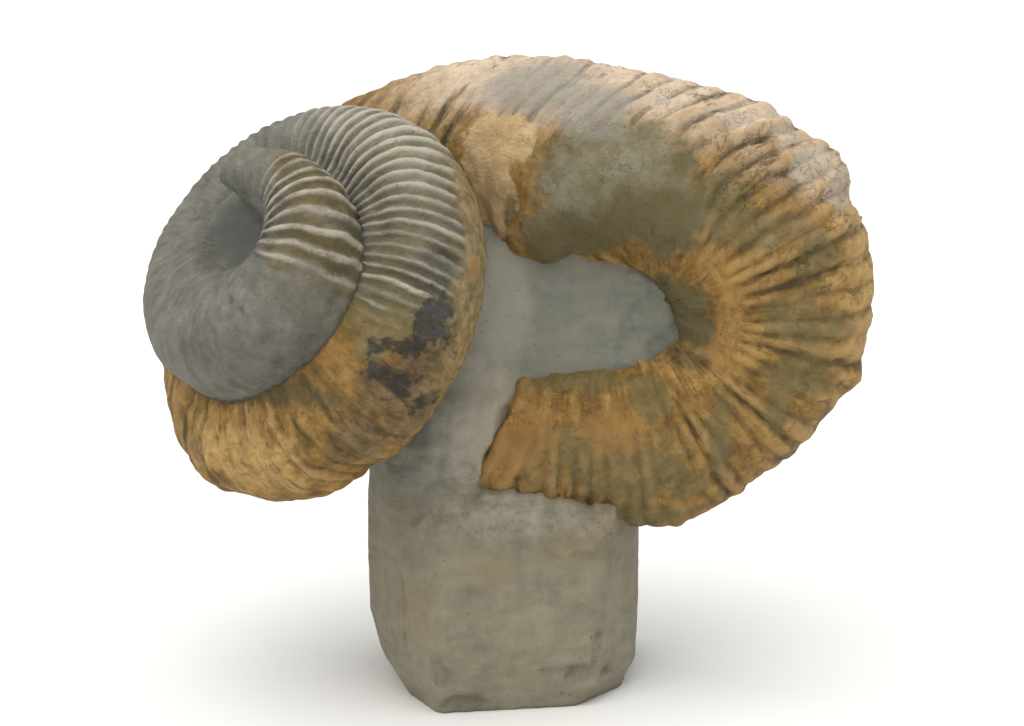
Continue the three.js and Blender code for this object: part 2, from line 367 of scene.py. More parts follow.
def shell_surface(rib, run, around, spot, direction):
    """Height of the skin over the plain tube at each place, and the masks that its finish reads.

    rib counts the ribs, run is millimetres along the shell, around the angle from the outer line of
    the coil, and spot the place on the plain tube. Where smooth() is given run, its two numbers are the
    places along the shell between which something starts or fades."""
    wander = noise_field(spot, WANDER_SIZE, octaves=2, shift=5)
    lumps = noise_field(spot, LUMP_SIZE, octaves=3, shift=9)
    grit = noise_field(spot, GRIT_SIZE, octaves=4, shift=3)
    ragged = noise_field(spot, RAGGED_SIZE, octaves=5, shift=17)
    flakes = noise_field(spot, FLAKE_SIZE, octaves=3, shift=23)

    streak = rib * 0.004
    rib = rib + 0.20 * wander + 0.16 * ragged
    wave = 0.5 + 0.5 * np.cos(2 * math.pi * rib)
    breadth = along(run, RIB_BREADTH)
    crest = (wave ** 1.9) * (1 - breadth) + (1 - (1 - wave) ** 2.6) * breadth
    uneven = along(run, RIB_UNEVENNESS)
    crest_share = 1 - uneven * chance(np.round(rib), 1)
    hollow_share = 1 - uneven * chance(np.floor(rib), 5)
    strength = along(run, RIB_HEIGHT) * (0.75 + 0.25 * crest_share)
    strength *= 1 - 0.6 * smooth(math.radians(120), math.radians(165), np.abs(around))
    strength *= 1 - smooth(510, 540, run) * smooth(math.radians(104), math.radians(122), np.abs(around))
    bare_margin = smooth(28, 20, np.abs(np.degrees(around) + 16) + 5 * ragged) * smooth(192, 204, run)
    bare_margin *= smooth(262, 240, run)
    strength *= 1 - 0.9 * bare_margin
    strength *= 1 + 0.35 * lumps
    outer_line = smooth(math.radians(38), math.radians(12), np.abs(around))
    strength *= 1 - 0.45 * smooth(350, 420, run) * outer_line

    def zone(zones, raggedness):
        return blobs(spot, zones) + raggedness * ragged

    worn = zone(WORN, 0.16)
    knobbly = zone(KNOBBLY, 0.25)
    chips = zone(CHIPS, 0.5)
    charred = zone(CHARRED, 0.5)
    broken = zone(BROKEN, 0.3)
    bare = zone(BARE_BAND, 0.25)
    gap = gap_to_other_turns(run, spot)
    hook = smooth(260, 300, run)
    strength *= 1 - 0.93 * smooth(-0.12, 0.15, worn)
    strength *= 1 - 0.6 * smooth(-0.1, 0.2, knobbly)
    strength *= 1 - 0.5 * smooth(-0.1, 0.3, charred)
    unworn = 1 - smooth(-0.1, 0.12, worn)
    step = flakes * 3.0
    terrace = np.floor(step) + smooth(0.40, 0.60, np.modf(step)[0] + (step < 0))
    height = strength * (crest * crest_share - 0.4 - 0.35 * (1 - crest) * hollow_share)
    height += 0.5 * np.maximum(GROOVE_FILL - np.clip(gap, 0, 99), 0) * (1 - 0.5 * hook)
    height += 0.5 * np.maximum(CORE_FILL - gap_to_core(spot), 0) * (1 - hook)
    height += (0.25 + 0.55 * hook) * lumps
    flaky = smooth(0, 0.35, zone(FLAKY, 0.25)) * unworn
    height += (0.04 + 0.16 * hook * unworn + 0.40 * flaky) * grit
    height += (0.22 * hook * unworn + 0.45 * flaky) * terrace
    lifted = np.abs(noise_field(spot, LIFTED_FLAKE_SIZE, octaves=4, shift=37)) - 0.25
    height += LIFTED_FLAKE_HEIGHT * flaky * lifted
    bend_knobs = zone(BEND_KNOBS, 0.4)
    knobs = 0.2 + KNOB_HEIGHT * np.abs(noise_field(spot, KNOB_SIZE, octaves=3, shift=31))
    height += smooth(0, 0.3, np.maximum(knobbly, bend_knobs)) * knobs
    height -= WORN_DEPTH * (1 - unworn)
    height -= CHIP_DEPTH * smooth(-0.02, 0.1, chips)
    height -= CHAR_DEPTH * smooth(0.0, 0.1, charred)
    height -= BREAK_DEPTH * smooth(0.0, 0.2, broken)
    height -= PIT_DEPTH * smooth(0.0, 0.6, zone(PITS, 0.1))
    for rise, swelling in SWELLINGS:
        height += rise * smooth(0.0, 0.75, zone([swelling], 0.15))
    height += BEND_RISE * smooth(535, 560, run) * smooth(600, 580, run) * smooth(0.2, 0.9, np.cos(around))
    visible = smooth(0.25, 0.85, strength)
    skin_reach = 0.3 * TUBE_RADIUS * MM
    upward = direction[:, 2]
    masks = {
        "crest": crest * crest_share * visible,
        "hollow": (1 - crest) * hollow_share * visible,
        "ochre": smooth(222, 250, run + 7 * ragged + 5 * wander - 5 * np.sin(around)),
        "edge_ochre": (smooth(24, 2, np.degrees(around) + 14 * ragged)
                       * smooth(192, 206, run) * smooth(262, 240, run)),
        "worn": worn,
        "worn_dark": zone(WORN_DARK, 0.4),
        "bare": bare,
        "knobbly": knobbly,
        "bend_knobs": bend_knobs,
        "chips": chips,
        "olive": zone(OLIVE_PATCHES, 0.5),
        "charred": charred,
        # painted shade where the turns meet low down
        "low_contact_shade": np.where(run > 245, zone(LOW_CONTACT_SHADE_ZONES, 0.5), -9),
        "slaty": zone(SLATY, 0.3),
        "slate_hollow": zone(SLATE_HOLLOWS, 0.3),
        "sunlit": zone(SUNLIT, 0.5),
        "flaky": flaky,
        "burnt": zone(BURNT, 0.5),
        "rusty": zone(RUSTY, 0.4),
        "shaded": zone(SHADED, 0.15),
        # painted top light: the spire's upward faces, painted paler
        "spire_top_light": (smooth(0.35, 0.95, upward + 0.2 * ragged)
                       * smooth(150, 185, run) * smooth(236, 205, run)),
        # painted top light: the hook's upward faces, painted paler
        "painted_top_light": (smooth(0.15, 0.95, upward + 0.25 * ragged)
                 * smooth(430, 470, run) * smooth(580, 555, run)),
        "olive_spire": (smooth(110, 70, np.degrees(around) + 15 * ragged)
                        * (smooth(46, 34, run) + smooth(176, 196, run))),
        "gap": gap,
        "relief": lumps + grit * 0.6 + flakes * 0.3,
        "skin": np.stack([
            streak, skin_reach * np.cos(around), skin_reach * np.sin(around)], axis=1)}
    return height, masks


# The broken end: how many rings it takes up, how far it slants each way and how torn it is.
BREAK_RINGS = 2.7
BREAK_SLANT = 7.4
TORN_SIZE = 7
TORN_REACH = 1.6


def dress_tube(tube, first, last, sink):
    """Moves the fine mesh onto the true tube and raises its ribs. The first millimetres of a later
    length sink a little inside the one before, so that the two join cleanly."""
    count = len(tube.data.vertices)
    flat = np.empty(count * 3)
    tube.data.vertices.foreach_get("co", flat)
    points = flat.reshape(-1, 3) / MM
    ring = np.empty(count)
    tube.data.attributes["ring"].data.foreach_get("value", ring)
    run = np.interp(ring, range(len(ring_runs)), ring_runs)
    step = np.clip((run - SHELL_START) / ROUTE_STEP, 0, len(runs) - 1).astype(int)
    place = route_at(run)
    offset = points - place[:, :3]
    out = np.sum(offset * outwards[step], axis=1)
    side = np.sum(offset * sideways[step], axis=1)
    around = np.arctan2(side, out)
    share = np.hypot(out, side) / (place[:, 3] * ROUNDING)
    share = np.where(share > 0.97, 1, share)
    # The lines of the mesh lean with the ribs, and bend forwards over the outer side.
    run = np.clip(run - along(run, RIB_LEAN) * np.cos(around) ** 2 * share ** 2, SHELL_START, SHELL_LENGTH)
    step = np.clip((run - SHELL_START) / ROUTE_STEP, 0, len(runs) - 1).astype(int)
    place = route_at(run)
    direction = np.cos(around)[:, None] * outwards[step] + np.sin(around)[:, None] * sideways[step]
    spot = place[:, :3] + direction * place[:, 3:] * share[:, None]
    height, masks = shell_surface(ring * RIBS_PER_RING, run, around, spot, direction)
    if sink:
        height -= 0.25 * (ring < first + 0.95)
    spot += direction * (height * share ** 4)[:, None]
    if last == len(ring_runs) - 1:
        # The broken end slants: its lower side reaches further than its upper side.
        pull = smooth(last - BREAK_RINGS, last, ring)
        torn = noise_field(spot, TORN_SIZE, octaves=4, shift=41)
        reach = BREAK_SLANT * np.cos(around) + 2 + TORN_REACH * torn
        spot += forwards[step] * (pull * reach * share)[:, None]
    tube.data.vertices.foreach_set("co", (spot * MM).ravel())
    for name, values in masks.items():
        kind = "FLOAT_VECTOR" if values.ndim == 2 else "FLOAT"
        layer = tube.data.attributes.get(name) or tube.data.attributes.new(name, kind, "POINT")
        layer.data.foreach_set("vector" if values.ndim == 2 else "value", values.ravel())
    tube.data.update()


def nearest_ring(run):
    """Number of the coarse ring nearest to a place along the shell."""
    return int(np.argmin(np.abs(np.array(ring_runs) - run)))


# The tube lies against its own earlier turns, so it is made in lengths, which are then joined.
length_ends = [0, nearest_ring(188), nearest_ring(400), len(ring_runs) - 1]
lengths = []
for part in range(3):
    start = length_ends[part] - (1 if part else 0)
    length = tube_length(f"shell_length_{part}", start, length_ends[part + 1])
    dress_tube(length, start, length_ends[part + 1], sink=part > 0)
    lengths.append(length)

shell = lengths[0]
shell.name = "fossil_shell"
for length in lengths[1:]:
    bpy.ops.object.select_all(action="DESELECT")
    shell.select_set(True)
    bpy.context.view_layer.objects.active = shell
    joiner = shell.modifiers.new("join", "BOOLEAN")
    joiner.operation = "UNION"
    joiner.solver = "MANIFOLD"
    joiner.object = length
    bpy.ops.object.modifier_apply(modifier="join")
    bpy.data.objects.remove(length)
# Mud filled the groove where the turns touch, so it is eased there.
count = len(shell.data.vertices)
gap = np.empty(count)
shell.data.attributes["gap"].data.foreach_get("value", gap)
EASED_FROM = 2.6
EASED_FULLY = 0.8
EASING_LEVELS = 10
groove = shell.vertex_groups.new(name="groove")
for level in range(1, EASING_LEVELS + 1):
    members = np.nonzero(np.round(EASING_LEVELS * smooth(EASED_FROM, EASED_FULLY, gap)) == level)[0]
    groove.add(members.tolist(), level / EASING_LEVELS, "REPLACE")
ease = shell.modifiers.new("ease", "SMOOTH")
ease.factor = 0.5
ease.iterations = 6
ease.vertex_group = "groove"
bpy.ops.object.modifier_apply(modifier="ease")
bpy.ops.object.shade_smooth()

# ---------------------------------------------------------------------------- shell: its finish
# Ochre lime where the shell is left, grey stone where only its filling is left, olive and brown stain
# and painted shade in the hollows between the ribs, and a painted highlight on the rib crests. It is matt.


def group_socket(group, name, in_out, kind, default=None):
    """A named input or output of a node group."""
    socket = group.interface.new_socket(name=name, in_out=in_out, socket_type=kind)
    if default is not None:
        socket.default_value = default


class Nodes:
    """Short calls that add nodes to a material or a node group."""

    def __init__(self, tree):
        self.nodes = tree.nodes
        self.links = tree.links
        self.place = self.nodes.new("ShaderNodeTexCoord").outputs["Object"]

    def give(self, socket, value):
        """Sets a socket to a number or a colour, or links another node's output to it."""
        if isinstance(value, tuple):
            socket.default_value = (*value, 1.0)
        elif isinstance(value, (int, float)):
            socket.default_value = value
        else:
            self.links.new(value, socket)

    def attribute(self, name, output="Fac"):
        """A mask, or with the output Vector a vector, that the mesh carries."""
        node = self.nodes.new("ShaderNodeAttribute")
        node.attribute_name = name
        return node.outputs[output]

    def stretched(self, scale):
        """The place on the piece, stretched for a noise that runs in one direction."""
        node = self.nodes.new("ShaderNodeMapping")
        node.inputs["Scale"].default_value = scale
        self.links.new(self.place, node.inputs["Vector"])
        return node.outputs["Vector"]

    def noise(self, scale, detail=4.0, roughness=0.5, place=None):
        node = self.nodes.new("ShaderNodeTexNoise")
        self.give(node.inputs["Scale"], scale)
        node.inputs["Detail"].default_value = detail
        node.inputs["Roughness"].default_value = roughness
        self.links.new(place or self.place, node.inputs["Vector"])
        return node.outputs["Fac"]

    def maths(self, operation, *values):
        node = self.nodes.new("ShaderNodeMath")
        node.operation = operation
        for socket, value in zip(node.inputs, values):
            self.give(socket, value)
        return node.outputs[0]

    def spread(self, value, low, high, to_low=0.0, to_high=1.0, kind="LINEAR"):
        """A value that goes from to_low to to_high as the given one goes from low to high."""
        node = self.nodes.new("ShaderNodeMapRange")
        node.interpolation_type = kind
        self.give(node.inputs["From Min"], low)
        self.give(node.inputs["From Max"], high)
        self.give(node.inputs["To Min"], to_low)
        self.give(node.inputs["To Max"], to_high)
        self.links.new(value, node.inputs["Value"])
        return node.outputs["Result"]

    def cracks(self, scale, width):
        """Thin wandering lines, where a noise passes its middle value."""
        level = self.maths("SUBTRACT", self.noise(scale, 5, 0.6), 0.5)
        return self.spread(self.maths("ABSOLUTE", level), width, 0.0)

    def blend(self, *parts):
        """Fields added up by their weights."""
        total = self.maths("MULTIPLY", *parts[0])
        for value, weight in parts[1:]:
            total = self.maths("MULTIPLY_ADD", value, weight, total)
        return total

    def tones(self, value, stops):
        """A colour for each value, from a list of (value, colour)."""
        ramp = self.nodes.new("ShaderNodeValToRGB")
        while len(ramp.color_ramp.elements) < len(stops):
            ramp.color_ramp.elements.new(0.5)
        for element, (position, colour) in zip(ramp.color_ramp.elements, stops):
            element.position = position
            element.color = (*colour, 1)
        self.links.new(value, ramp.inputs["Fac"])
        return ramp.outputs["Color"]

    def mix(self, under, over, amount, blend="MIX"):
        node = self.nodes.new("ShaderNodeMix")
        node.data_type = "RGBA"
        node.blend_type = blend
        self.give(node.inputs["A"], under)
        self.give(node.inputs["B"], over)
        self.give(node.inputs["Factor"], amount)
        return node.outputs["Result"]

    def bump(self, height, distance, strength=1.0, after=None):
        node = self.nodes.new("ShaderNodeBump")
        node.inputs["Distance"].default_value = distance
        node.inputs["Strength"].default_value = strength
        self.links.new(height, node.inputs["Height"])
        if after:
            self.links.new(after, node.inputs["Normal"])
        return node.outputs["Normal"]

    def placed(self, group, values):
        """A node group set in place, its inputs given by name."""
        node = self.nodes.new("ShaderNodeGroup")
        node.node_tree = group
        for name, value in values.items():
            self.give(node.inputs[name], value)
        return node.outputs

    def mask(self, field, softness=0.1, grain=300.0, raggedness=0.3):
        """A soft field made a ragged mask."""
        return self.placed(ragged_mask, {
            "Field": field, "Softness": softness, "Grain": grain, "Raggedness": raggedness})["Mask"]


def ragged_mask_group():
    """A soft field made a mask whose edge wanders with fine noise."""
    group = bpy.data.node_groups.new("ragged_mask", "ShaderNodeTree")
    group_socket(group, "Field", "INPUT", "NodeSocketFloat", 0.0)
    group_socket(group, "Softness", "INPUT", "NodeSocketFloat", 0.1)
    group_socket(group, "Grain", "INPUT", "NodeSocketFloat", 300.0)
    group_socket(group, "Raggedness", "INPUT", "NodeSocketFloat", 0.3)
    group_socket(group, "Mask", "OUTPUT", "NodeSocketFloat")
    g = Nodes(group)
    given = g.nodes.new("NodeGroupInput").outputs
    result = g.nodes.new("NodeGroupOutput").inputs
    centred = g.maths("SUBTRACT", g.noise(given["Grain"], 4), 0.5)
    wander = g.maths("MULTIPLY_ADD", centred, given["Raggedness"], given["Field"])
    low = g.maths("MULTIPLY", given["Softness"], -1)
    mask = g.spread(wander, low, given["Softness"], kind="SMOOTHSTEP")
    g.links.new(mask, result["Mask"])
    return group


MID_GREY = (0.5, 0.5, 0.5)


def stone_grain_group():
    """Scattered specks and a fine grain, laid over the colour of a stone."""
    group = bpy.data.node_groups.new("stone_grain", "ShaderNodeTree")
    group_socket(group, "Color", "INPUT", "NodeSocketColor")
    group_socket(group, "Speck Color", "INPUT", "NodeSocketColor")
    group_socket(group, "Speck Scale", "INPUT", "NodeSocketFloat", 600.0)
    group_socket(group, "Speck From", "INPUT", "NodeSocketFloat", 0.68)
    group_socket(group, "Speck To", "INPUT", "NodeSocketFloat", 0.75)
    group_socket(group, "Speck Amount", "INPUT", "NodeSocketFloat", 0.5)
    group_socket(group, "Grain Scale", "INPUT", "NodeSocketFloat", 1000.0)
    group_socket(group, "Grain Amount", "INPUT", "NodeSocketFloat", 0.25)
    group_socket(group, "Color", "OUTPUT", "NodeSocketColor")
    group_socket(group, "Grain", "OUTPUT", "NodeSocketFloat")
    g = Nodes(group)
    given = g.nodes.new("NodeGroupInput").outputs
    result = g.nodes.new("NodeGroupOutput").inputs
    speck = g.noise(given["Speck Scale"], 2)
    speck = g.spread(speck, given["Speck From"], given["Speck To"], 0.0, given["Speck Amount"])
    speckled = g.mix(given["Color"], given["Speck Color"], speck)
    grain = g.noise(given["Grain Scale"], 5, 0.65)
    shade = g.spread(grain, 0.35, 0.65, 0.0, given["Grain Amount"])
    g.links.new(g.mix(speckled, MID_GREY, shade, "OVERLAY"), result["Color"])
    g.links.new(grain, result["Grain"])
    return group


ragged_mask = ragged_mask_group()
stone_grain = stone_grain_group()

OCHRE_TONES = [
    (0.30, (0.060, 0.036, 0.010)), (0.41, (0.138, 0.078, 0.019)), (0.50, (0.248, 0.142, 0.035)),
    (0.60, (0.370, 0.226, 0.072)), (0.72, (0.54, 0.38, 0.165))]
GREY_TONES = [
    (0.30, (0.060, 0.058, 0.045)), (0.43, (0.110, 0.107, 0.086)), (0.54, (0.162, 0.157, 0.130)),
    (0.68, (0.240, 0.232, 0.196))]
WORN_TONES = [
    (0.32, (0.100, 0.082, 0.034)), (0.45, (0.165, 0.142, 0.078)), (0.57, (0.222, 0.198, 0.128)),
    (0.70, (0.270, 0.248, 0.182))]
OLIVE = (0.135, 0.105, 0.034)
HOLLOW_STAIN_AND_SHADE = (0.050, 0.040, 0.015)
GREY_CREST_HIGHLIGHT = (0.44, 0.395, 0.30)
OCHRE_CREST_HIGHLIGHT = (0.42, 0.275, 0.125)
CHAR = (0.028, 0.025, 0.018)
SLATE = (0.050, 0.051, 0.056)
CHIP = (0.46, 0.40, 0.31)
TOP_LIGHT_PINK = (0.63, 0.50, 0.375)
RUST = (0.32, 0.165, 0.048)
SHADE = (0.068, 0.070, 0.064)
CREVICE_SHADE = (0.060, 0.054, 0.026)
SUNLIT_LIME = (0.52, 0.34, 0.125)
YOUNG_BROWN = (0.20, 0.125, 0.042)
SLATE_GREY = (0.070, 0.072, 0.076)
TOP_LIGHT_GREY = (0.46, 0.425, 0.35)
MARGIN_BROWN = (0.155, 0.115, 0.045)
MARGIN_OCHRE = (0.33, 0.235, 0.105)
DASH_BROWN = (0.085, 0.055, 0.020)
PALE_OLIVE = (0.175, 0.150, 0.075)
WORN_BROWN = (0.105, 0.082, 0.028)
BARE_GREY = (0.250, 0.240, 0.205)
CREAM = (0.50, 0.37, 0.225)
KNOB_OCHRE = (0.40, 0.245, 0.075)
BURNT_DARK = (0.050, 0.036, 0.016)
BURNT_TAN = (0.17, 0.125, 0.065)
CHAR_TAN = (0.115, 0.090, 0.050)
PALE_SHADE = (0.105, 0.105, 0.094)
CRACK_BROWN = (0.045, 0.032, 0.012)
SPECK_BROWN = (0.05, 0.045, 0.03)


def shell_finish():
    """The shell's material, from the masks in its mesh and from noise on the piece."""
    material = bpy.data.materials.new("fossil_shell")
    material.use_nodes = True
    shader = material.node_tree.nodes["Principled BSDF"].inputs
    f = Nodes(material.node_tree)
    skin = f.attribute("skin", "Vector")
    coarse = f.noise(75, 6, 0.65)
    medium = f.noise(260, 6, 0.68)
    streaks = f.noise(340, 6, 0.65, place=skin)
    lines = f.noise(1500, 3, 0.6, place=skin)
    hollow = f.attribute("hollow")
    crest = f.attribute("crest")
    ochre = f.mask(f.spread(f.attribute("ochre"), 0, 1, -0.5, 0.5), 0.25, 200, 0.9)

    # the skin itself: ochre lime on the hook and the last turn, grey on the spire
    tone = f.blend((medium, 0.42), (streaks, 0.40), (coarse, 0.18))
    tone = f.maths("ADD", tone, f.spread(f.attribute("relief"), -1, 1, -0.06, 0.06))
    sunlit = f.mask(f.attribute("sunlit"), 0.5, 240, 1.0)
    lime = f.tones(f.maths("ADD", tone, f.maths("MULTIPLY", sunlit, 0.03)), OCHRE_TONES)
    # painted top light: the hook's upward faces are painted a paler pink
    painted_top_light = f.maths("MULTIPLY", f.attribute("painted_top_light"), f.spread(medium, 0.3, 0.6, 0.55, 1.0))
    sunlit_mottle = f.maths("MULTIPLY", sunlit, f.spread(medium, 0.36, 0.60, 0.15, 0.75))
    lime = f.mix(lime, SUNLIT_LIME, sunlit_mottle)
    lime = f.mix(lime, TOP_LIGHT_PINK, painted_top_light)
    # painted highlight: the rib crests are painted paler on the lime
    lime = f.mix(lime, OCHRE_CREST_HIGHLIGHT, f.maths("MULTIPLY", f.spread(crest, 0.5, 1.0), 0.5))
    stone = f.tones(f.blend((medium, 0.35), (streaks, 0.35), (coarse, 0.30)), GREY_TONES)
    tinted = f.maths("MULTIPLY", f.attribute("olive_spire"), f.spread(hollow, 0.2, 0.8, 0.25, 1.0))
    tint = f.mix(OLIVE, YOUNG_BROWN, f.spread(medium, 0.50, 0.62))
    stone = f.mix(stone, tint, f.maths("MULTIPLY", tinted, f.spread(coarse, 0.36, 0.52, 0.3, 0.9)))
    slate_hollow = f.mask(f.attribute("slate_hollow"), 0.4, 260, 1.5)
    slate_hollow = f.maths("MULTIPLY", f.spread(hollow, 0.3, 0.8), slate_hollow)
    stone = f.mix(stone, SLATE_GREY, f.maths("MULTIPLY", slate_hollow, 0.7))
    # painted highlight: paler streaky lines along the rib crests of the grey stone
    crest_highlight = f.maths("MULTIPLY", f.spread(crest, 0.35, 0.80), f.spread(streaks, 0.36, 0.56, 0.25, 1.0))
    stone = f.mix(stone, GREY_CREST_HIGHLIGHT, f.maths("MULTIPLY", crest_highlight, f.spread(coarse, 0.35, 0.6, 1.0, 0.7)))
    # painted top light: the spire's upward faces are painted paler grey, most on the rib crests
    spire_top_light = f.maths("MULTIPLY", f.attribute("spire_top_light"), f.spread(crest, 0.0, 0.8, 0.35, 0.8))
    stone = f.mix(stone, TOP_LIGHT_GREY, spire_top_light)
    colour = f.mix(stone, lime, ochre)
    margin = f.mix(MARGIN_BROWN, MARGIN_OCHRE, f.spread(medium, 0.40, 0.60))
    colour = f.mix(colour, margin, f.maths("MULTIPLY", f.attribute("edge_ochre"), 0.85))

    # the hollows between the ribs are darkened: brown and olive stain, and painted shade
    stain = f.maths("MULTIPLY", f.spread(hollow, 0.25, 0.75), f.spread(streaks, 0.42, 0.64, 1.0, 0.15))
    colour = f.mix(colour, HOLLOW_STAIN_AND_SHADE, f.maths("MULTIPLY", stain, f.spread(ochre, 0, 1, 0.62, 0.95)))
    dashes = f.spread(f.noise(560, 3, 0.6, place=skin), 0.41, 0.33, 0.0, 0.65)
    colour = f.mix(colour, DASH_BROWN, f.maths("MULTIPLY", dashes, ochre))
    olive = f.mask(f.attribute("olive"), 0.40, 240, 1.1)
    olive_tone = f.mix(OLIVE, PALE_OLIVE, f.spread(medium, 0.4, 0.65))
    colour = f.mix(colour, olive_tone, f.maths("MULTIPLY", olive, 0.74))
    rusty = f.mask(f.attribute("rusty"), 0.45, 260, 1.5)
    colour = f.mix(colour, RUST, f.maths("MULTIPLY", rusty, 0.55))

    # places worn down to the stone filling, and patches of other crusts
    worn = f.mask(f.attribute("worn"), 0.22, 240, 0.9)
    filling = f.tones(f.blend((medium, 0.45), (coarse, 0.55)), WORN_TONES)
    worn_dark = f.mask(f.attribute("worn_dark"), 0.4, 150, 0.8)
    filling = f.mix(filling, WORN_BROWN, f.maths("MULTIPLY", worn_dark, 0.75))
    colour = f.mix(colour, filling, worn)
    bare = f.mask(f.attribute("bare"), 0.5, 220, 0.7)
    colour = f.mix(colour, BARE_GREY, f.maths("MULTIPLY", bare, 0.75))
    knobbly = f.mask(f.attribute("knobbly"), 0.10, 260, 0.5)
    cream = f.mix(f.tones(f.maths("ADD", tone, 0.12), OCHRE_TONES), CREAM, 0.5)
    colour = f.mix(colour, cream, knobbly)
    bend_knobs = f.mask(f.attribute("bend_knobs"), 0.35, 300, 1.6)
    bend_knobs = f.maths("MULTIPLY", bend_knobs, f.spread(medium, 0.40, 0.58, 0.1, 0.7))
    colour = f.mix(colour, KNOB_OCHRE, bend_knobs)
    chips = f.mask(f.attribute("chips"), 0.15, 320, 1.3)
    colour = f.mix(colour, CHIP, f.maths("MULTIPLY", chips, 0.65))
    burnt = f.mask(f.attribute("burnt"), 0.4, 300, 1.6)
    burnt_tone = f.mix(BURNT_DARK, BURNT_TAN, f.spread(streaks, 0.42, 0.62))
    colour = f.mix(colour, burnt_tone, f.maths("MULTIPLY", burnt, 0.75))
    charred = f.mask(f.attribute("charred"), 0.35, 420, 3.0)
    slaty = f.maths("MULTIPLY", f.mask(f.attribute("slaty"), 0.4, 300, 1.2), f.spread(medium, 0.40, 0.58))
    char = f.mix(f.mix(CHAR, CHAR_TAN, f.spread(streaks, 0.48, 0.60)), SLATE, slaty)
    colour = f.mix(colour, char, f.maths("MULTIPLY", charred, 0.88))
    # painted shade: darker where the turns meet low down
    low_contact_shade = f.mask(f.attribute("low_contact_shade"), 0.40, 520, 2.4)
    colour = f.mix(colour, CREVICE_SHADE, f.maths("MULTIPLY", low_contact_shade, 0.7))
    shaded = f.mask(f.attribute("shaded"), 0.45, 190, 1.3)
    shade_tone = f.mix(SHADE, PALE_SHADE, f.spread(medium, 0.4, 0.65))
    colour = f.mix(colour, shade_tone, f.maths("MULTIPLY", shaded, 0.92))
    # painted shade in the groove where the turns touch, darker the closer they lie
    crevice_shade = f.mask(f.spread(f.attribute("gap"), 1.0, 4.5, 0.5, -0.6), 0.35, 350, 1.0)
    colour = f.mix(colour, CREVICE_SHADE, f.maths("MULTIPLY", crevice_shade, 0.5))

    # hairline cracks, specks and grain
    cracked = f.maths("MAXIMUM", f.spread(coarse, 0.52, 0.62), f.attribute("flaky"))
    crack = f.maths("MULTIPLY", f.cracks(130, 0.014), cracked)
    crack = f.maths("MULTIPLY", crack, f.attribute("ochre"))
    colour = f.mix(colour, CRACK_BROWN, f.maths("MULTIPLY", crack, 0.28))
    grained = f.placed(stone_grain, {
        "Color": colour, "Speck Color": SPECK_BROWN, "Speck Scale": 620, "Speck From": 0.67,
        "Speck To": 0.74, "Speck Amount": 0.45, "Grain Scale": 950, "Grain Amount": 0.25})
    f.links.new(grained["Color"], shader["Base Color"])
    f.links.new(f.spread(medium, 0.3, 0.7, 0.62, 0.88), shader["Roughness"])
    shader["Specular IOR Level"].default_value = 0.3
    normal = f.bump(grained["Grain"], 0.0005, 0.6)
    normal = f.bump(lines, 0.0004, 0.5, normal)
    normal = f.bump(medium, 0.0018, 0.85, normal)
    normal = f.bump(f.maths("MULTIPLY", crack, -1), 0.0006, 0.6, normal)
    f.links.new(normal, shader["Normal"])
    return material


shell.data.materials.clear()
shell.data.materials.append(shell_finish())
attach(shell, "root")
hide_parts("ammonite_shell")

# ------------------------------------------------------------------------------------ the rock
# Fine grey limestone, left by whoever freed the fossil: a squat pillar under the hook with soft
# sawn faces, a web that fills the hook, and a core that fills the middle of the spire.
# Height of each level and the corners round it, x and y, from the foot up.
rock_levels = [
    (0, (-22, -34.5), (19, -28), (34, -10), (38.5, 26), (28, 39),
     (-14, 40), (-31, 28), (-35.5, 6), (-31, -17)),
    (6, (-22, -36.5), (25, -28.5), (38, -9), (40.5, 28), (30, 41),
     (-16, 42), (-36, 31), (-40.5, 6), (-34, -19)),
    (20, (-21.5, -37), (27, -27.5), (38.5, -7), (41, 27), (31, 42),
     (-17, 43), (-40, 33), (-44.5, 6), (-35, -21)),
    (42, (-21, -35.5), (27.5, -26), (38, -4), (41, 27), (31, 42),
     (-17, 43), (-41, 33), (-44.7, 5), (-35, -21)),
    (58, (-21, -31), (27, -22), (40, -4), (42, 24), (31, 37),
     (-17, 40), (-41, 30), (-44.5, 4), (-36, -19)),
    (76, (-24, -24), (12, -16), (46, -10), (56, 16), (34, 28),
     (-16, 34), (-38, 27), (-44, 6), (-38, -14)),
    (98, (-26, -16), (10, -13), (52, -11), (64, 4), (44, 18),
     (-10, 28), (-32, 26), (-40, 8), (-36, -8)),
    (122, (-22, -8), (10, -10), (50, -10), (66, 2), (46, 14),
     (-4, 24), (-22, 26), (-30, 12), (-28, 0)),
    (146, (-14, 2), (10, -6), (44, -6), (54, 2), (40, 10),
     (2, 20), (-12, 24), (-20, 16), (-18, 6))]
# Distance along the spire's axis from its centre, and the radius of the core there.
core_stretches = [
    (-84, 2), (-80, 24), (-58, 27), (-30, 24), (-8, 21), (10, 21), (24, 21), (22.5, 14), (21, 3)]
CORE_SIDES = 24
PILLAR_RADIUS = 30
UPRIGHT_STEP = 4      # an edge that climbs more than this is an upright corner, and is rounded
EDGE_ROUNDING = 2
ROCK_GRAIN = 1.1      # mesh size of the finished rock

